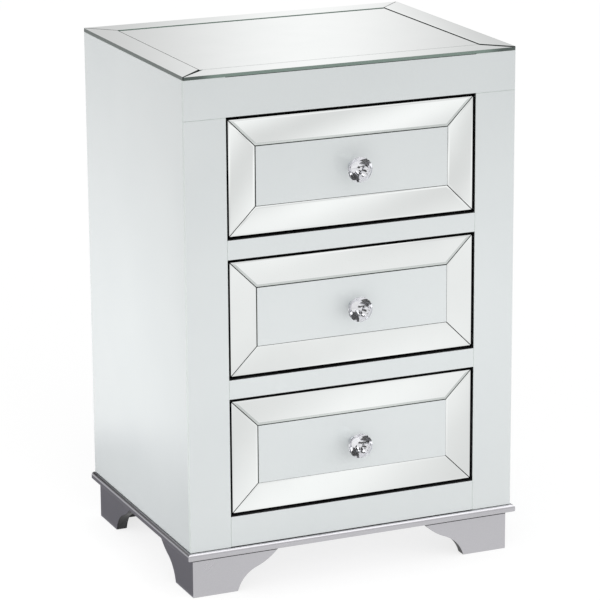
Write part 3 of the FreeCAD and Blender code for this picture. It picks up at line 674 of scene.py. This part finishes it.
def studio_floor():
    """Matt white floor paint, glowing for anything that mirrors it with painted bands of light and a painted
    shade.
    """
    material, tree, place = blank_material("matt_white_floor")

    def soft_step(value, start, end):
        """Nothing before the start and one past the end, with a soft step between them."""
        step = add_node(tree, "MapRange", {"Value": value, "From Min": start, "From Max": end},
                        interpolation_type="SMOOTHSTEP")
        return step.outputs["Result"]

    path = add_node(tree, "LightPath")
    mirrored = add_node(tree, "Math", {0: path.outputs["Is Glossy Ray"],
                                       1: path.outputs["Is Transmission Ray"]}, operation="MAXIMUM")
    turned = add_node(tree, "Mapping", {"Vector": place, "Rotation": (0, 0, math.radians(-BAND_TURN))})
    split = add_node(tree, "SeparateXYZ", {"Vector": turned.outputs["Vector"]})
    phase = add_node(tree, "Math", {0: split.outputs["X"], 1: math.tau / BAND_STEP, 2: BAND_PHASE},
                     operation="MULTIPLY_ADD")
    wave = add_node(tree, "Math", {0: phase.outputs["Value"]}, operation="COSINE")
    flat = add_node(tree, "SeparateXYZ", {"Vector": place})
    outward = add_node(tree, "Math", {0: flat.outputs["Y"], 1: CALM_PLACE}, operation="SUBTRACT")
    apart = add_node(tree, "Math", {0: outward.outputs["Value"]}, operation="ABSOLUTE")
    swing = add_node(tree, "MapRange", {"Value": apart.outputs["Value"], "From Max": CALM_REACH,
                                        "To Max": BAND_SWING}, interpolation_type="SMOOTHSTEP")
    near = soft_step(flat.outputs["Y"], NEAR_CALM[1], NEAR_CALM[0])
    lively = add_node(tree, "Math", {0: swing.outputs["Result"], 1: near}, operation="MULTIPLY")
    band = add_node(tree, "Math", {0: wave.outputs["Value"], 1: lively.outputs["Value"], 2: BAND_LIGHT},
                    operation="MULTIPLY_ADD")
    behind = add_node(tree, "Math", {0: soft_step(flat.outputs["Y"], *SHADE_FRONT),
                                     1: soft_step(flat.outputs["Y"], SHADE_REAR[1], SHADE_REAR[0])},
                      operation="MULTIPLY")
    beside = add_node(tree, "Math", {0: soft_step(flat.outputs["X"], *SHADE_OUTER),
                                     1: soft_step(flat.outputs["X"], SHADE_INNER[1], SHADE_INNER[0])},
                      operation="MULTIPLY")
    shade = add_node(tree, "Math", {0: beside.outputs["Value"], 1: behind.outputs["Value"]},
                     operation="MULTIPLY")
    clear = add_node(tree, "MapRange", {"Value": shade.outputs["Value"], "To Min": 1.0,
                                        "To Max": 1 - SHADE_DEPTH})
    light = add_node(tree, "Math", {0: band.outputs["Value"], 1: clear.outputs["Result"]},
                     operation="MULTIPLY")
    tint = add_node(tree, "Mix", {0: shade.outputs["Value"], 6: linear("#ffffff"), 7: linear("#f6f4ff")},
                    data_type="RGBA")
    glow = add_node(tree, "Emission", {"Color": tint.outputs[2], "Strength": light.outputs["Value"]})
    paint = add_node(tree, "BsdfDiffuse", {"Color": linear("#e6e6e6")})
    shaded = add_node(tree, "BsdfDiffuse", {"Color": linear("#989898")})
    lift = add_node(tree, "Emission", {"Strength": FLOOR_LIFT})
    lifted = add_node(tree, "AddShader", {0: shaded.outputs["BSDF"], 1: lift.outputs["Emission"]})
    seen = add_node(tree, "MixShader", {0: path.outputs["Is Camera Ray"], 1: paint.outputs["BSDF"],
                                        2: lifted.outputs["Shader"]})
    whole = add_node(tree, "MixShader", {0: mirrored.outputs["Value"], 1: seen.outputs["Shader"],
                                         2: glow.outputs["Emission"]})
    add_node(tree, "OutputMaterial", {"Surface": whole.outputs["Shader"]})
    return material


floor_mesh = bpy.data.meshes.new("studio_floor")
sheet = bmesh.new()
bmesh.ops.create_grid(sheet, x_segments=1, y_segments=1, size=FLOOR_REACH)
sheet.to_mesh(floor_mesh)
sheet.free()
floor_mesh.materials.append(studio_floor())
floor = bpy.data.objects.new("studio_floor", floor_mesh)
bpy.context.scene.collection.objects.link(floor)

# Light: a white tent all round with a bright ceiling and a lit strip far behind. The crystals alone see it
# broken by dark patches, thickest round two flags. Polished edges mirror a dark card at the left rear, and
# two low softboxes stand close to the left side and to the front.
TENT_LIGHT = 0.98
FRONT_LIGHT = 0.24
FRONT = (0.25, -0.95, 0.1)
STRIP_SIDE = (0.9176, -0.3975, 0.0)
STRIP_PLACE = 0.005
STRIP_REACH = 0.075
STRIP_LIGHT = (0.8, 1.23)
# Each zone is a direction and the two angles round it, in degrees, between which it fades out.
CEILING = ((0.2, -0.2, 1.0), 15, 55)
REAR_FLAG = ((-0.35, 0.85, 0.35), 18, 32)
CAMERA_FLAG = ((-0.38, -0.88, 0.27), 30, 35)
CEILING_LIGHT = 1.6
PATCHES = 3.0
PATCH_SHARE = (0.475, 0.485)
FLAG_SHARE = 0.09
PATCH_LIGHT = (0.0, 1.3)
CARD_PLACE = (-0.85, 1.8, 1.0)
CARD_REACH = (0.95, 0.62)
CARD_LIGHT = (0.1, 0.14)

world = bpy.data.worlds.new("white_tent")
bpy.context.scene.world = world
world.use_nodes = True
tent = world.node_tree
tent.nodes.clear()
towards = add_node(tent, "TexCoord").outputs["Generated"]


def zone(direction, inner, outer):
    """One inside a cone round a direction, nothing outside it, with a soft rim between two angles."""
    close = add_node(tent, "VectorMath", {0: towards, 1: Vector(direction).normalized()},
                     operation="DOT_PRODUCT")
    rim, core = (math.cos(math.radians(angle)) for angle in (outer, inner))
    spot = add_node(tent, "MapRange", {"Value": close.outputs["Value"], "From Min": rim, "From Max": core},
                    interpolation_type="SMOOTHSTEP")
    return spot.outputs["Result"]


across = add_node(tent, "VectorMath", {0: towards, 1: STRIP_SIDE}, operation="DOT_PRODUCT")
beside = add_node(tent, "Math", {0: across.outputs["Value"], 1: STRIP_PLACE}, operation="SUBTRACT")
apart = add_node(tent, "Math", {0: beside.outputs["Value"]}, operation="ABSOLUTE")
strip = add_node(tent, "MapRange", {"Value": apart.outputs["Value"], "From Min": STRIP_REACH,
                                    "From Max": 0.0, "To Min": STRIP_LIGHT[0], "To Max": STRIP_LIGHT[1]},
                 interpolation_type="SMOOTHSTEP")
ceiling = add_node(tent, "Math", {0: zone(*CEILING), 1: CEILING_LIGHT, 2: strip.outputs["Result"]},
                   operation="MULTIPLY_ADD")
path = add_node(tent, "LightPath")
flagged = add_node(tent, "Math", {0: zone(*REAR_FLAG), 1: zone(*CAMERA_FLAG)}, operation="MAXIMUM")
cloud = add_node(tent, "TexNoise", {"Vector": towards, "Scale": PATCHES, "Detail": 1.0})
share = add_node(tent, "Math", {0: flagged.outputs["Value"], 1: -FLAG_SHARE, 2: cloud.outputs["Fac"]},
                 operation="MULTIPLY_ADD")
patched = add_node(tent, "MapRange", {"Value": share.outputs["Value"], "From Min": PATCH_SHARE[0],
                                      "From Max": PATCH_SHARE[1], "To Min": PATCH_LIGHT[0],
                                      "To Max": PATCH_LIGHT[1]})
dimmed = add_node(tent, "MapRange", {"Value": path.outputs["Is Transmission Ray"], "To Min": 1.0,
                                     "To Max": patched.outputs["Result"]})
mirrored_light = add_node(tent, "Math", {0: ceiling.outputs["Value"], 1: dimmed.outputs["Result"]},
                          operation="MULTIPLY")
specular = add_node(tent, "Math", {0: path.outputs["Is Glossy Ray"], 1: path.outputs["Is Transmission Ray"]},
                    operation="MAXIMUM")
ahead = add_node(tent, "VectorMath", {0: towards, 1: FRONT}, operation="DOT_PRODUCT")
fill = add_node(tent, "Math", {0: ahead.outputs["Value"], 1: FRONT_LIGHT, 2: TENT_LIGHT},
                operation="MULTIPLY_ADD")
soft = add_node(tent, "Background", {"Strength": fill.outputs["Value"]})
bright = add_node(tent, "Background", {"Strength": mirrored_light.outputs["Value"]})
white = add_node(tent, "Background", {"Strength": 1.0})
lit = add_node(tent, "MixShader", {0: specular.outputs["Value"], 1: soft.outputs["Background"],
                                   2: bright.outputs["Background"]})
seen = add_node(tent, "MixShader", {0: path.outputs["Is Camera Ray"], 1: lit.outputs["Shader"],
                                    2: white.outputs["Background"]})
add_node(tent, "OutputWorld", {"Surface": seen.outputs["Shader"]})


def matt_card():
    """Black card, matt: a dull dark grey wherever a polished edge mirrors it."""
    material, tree, place = blank_material("matt_black_card")
    fibre = add_node(tree, "TexNoise", {"Vector": place, "Scale": per_metre(20)})
    glow = add_node(tree, "MapRange", {"Value": fibre.outputs["Fac"], "To Min": CARD_LIGHT[0],
                                       "To Max": CARD_LIGHT[1]})
    dull = add_node(tree, "Emission", {"Strength": glow.outputs["Result"]})
    add_node(tree, "OutputMaterial", {"Surface": dull.outputs["Emission"]})
    return material


card_mesh = bpy.data.meshes.new("dark_card")
sheet = bmesh.new()
standing = Matrix.Translation(CARD_PLACE) @ UPRIGHT @ Matrix.Diagonal((*CARD_REACH, 1, 1))
bmesh.ops.create_grid(sheet, x_segments=1, y_segments=1, size=1, matrix=standing)
sheet.to_mesh(card_mesh)
sheet.free()
card_mesh.materials.append(matt_card())
card = bpy.data.objects.new("dark_card", card_mesh)
for unseen in ("camera", "diffuse", "transmission", "shadow"):
    setattr(card, f"visible_{unseen}", False)
bpy.context.scene.collection.objects.link(card)


def softbox(name, place, aim, width, height, power):
    """A rectangular lamp that points from its place at its aim and shows in no mirror or crystal."""
    lamp = bpy.data.lights.new(name, "AREA")
    lamp.shape = "RECTANGLE"
    lamp.size = width
    lamp.size_y = height
    lamp.energy = power
    holder = bpy.data.objects.new(name, lamp)
    holder.location = place
    holder.rotation_euler = (Vector(aim) - Vector(place)).to_track_quat("-Z", "Y").to_euler()
    holder.visible_glossy = False
    holder.visible_transmission = False
    bpy.context.scene.collection.objects.link(holder)


softbox("left_softbox", place=(-0.66, 0.12, 0.28), aim=(0, 0.12, 0.28), width=0.6, height=0.15, power=0.95)
softbox("front_softbox", place=(0.16, -0.54, 0.31), aim=(0.16, 0, 0.31), width=1.2, height=0.2, power=0.72)

# Camera: a long lens four metres away, in front, to the left and a little above the top. It looks down on
# the object with a slight roll, and light may pass many times through the crystals.
SENSOR = 36
LENS = 185.87
AZIMUTH = -23.46
ELEVATION = 15.677
ROLL = -0.379
DISTANCE = 4.1249
AIM = Vector((0.0378, 0.0951, 0.2947))
MIRROR_BOUNCES = 16
CRYSTAL_BOUNCES = 24
lens = bpy.data.cameras.new("long_lens")
lens.sensor_width = SENSOR
lens.lens = LENS
turn = Matrix.Rotation(math.radians(AZIMUTH), 4, "Z")
tip = Matrix.Rotation(math.radians(90 - ELEVATION), 4, "X")
level = Matrix.Rotation(math.radians(ROLL), 4, "Z")
camera = bpy.data.objects.new("long_lens", lens)
camera.matrix_world = Matrix.Translation(AIM) @ turn @ tip @ level @ Matrix.Translation((0, 0, DISTANCE))
bpy.context.scene.collection.objects.link(camera)
bpy.context.scene.camera = camera
bpy.context.scene.view_settings.view_transform = "Standard"
bpy.context.scene.cycles.max_bounces = CRYSTAL_BOUNCES
bpy.context.scene.cycles.glossy_bounces = MIRROR_BOUNCES
bpy.context.scene.cycles.transmission_bounces = CRYSTAL_BOUNCES
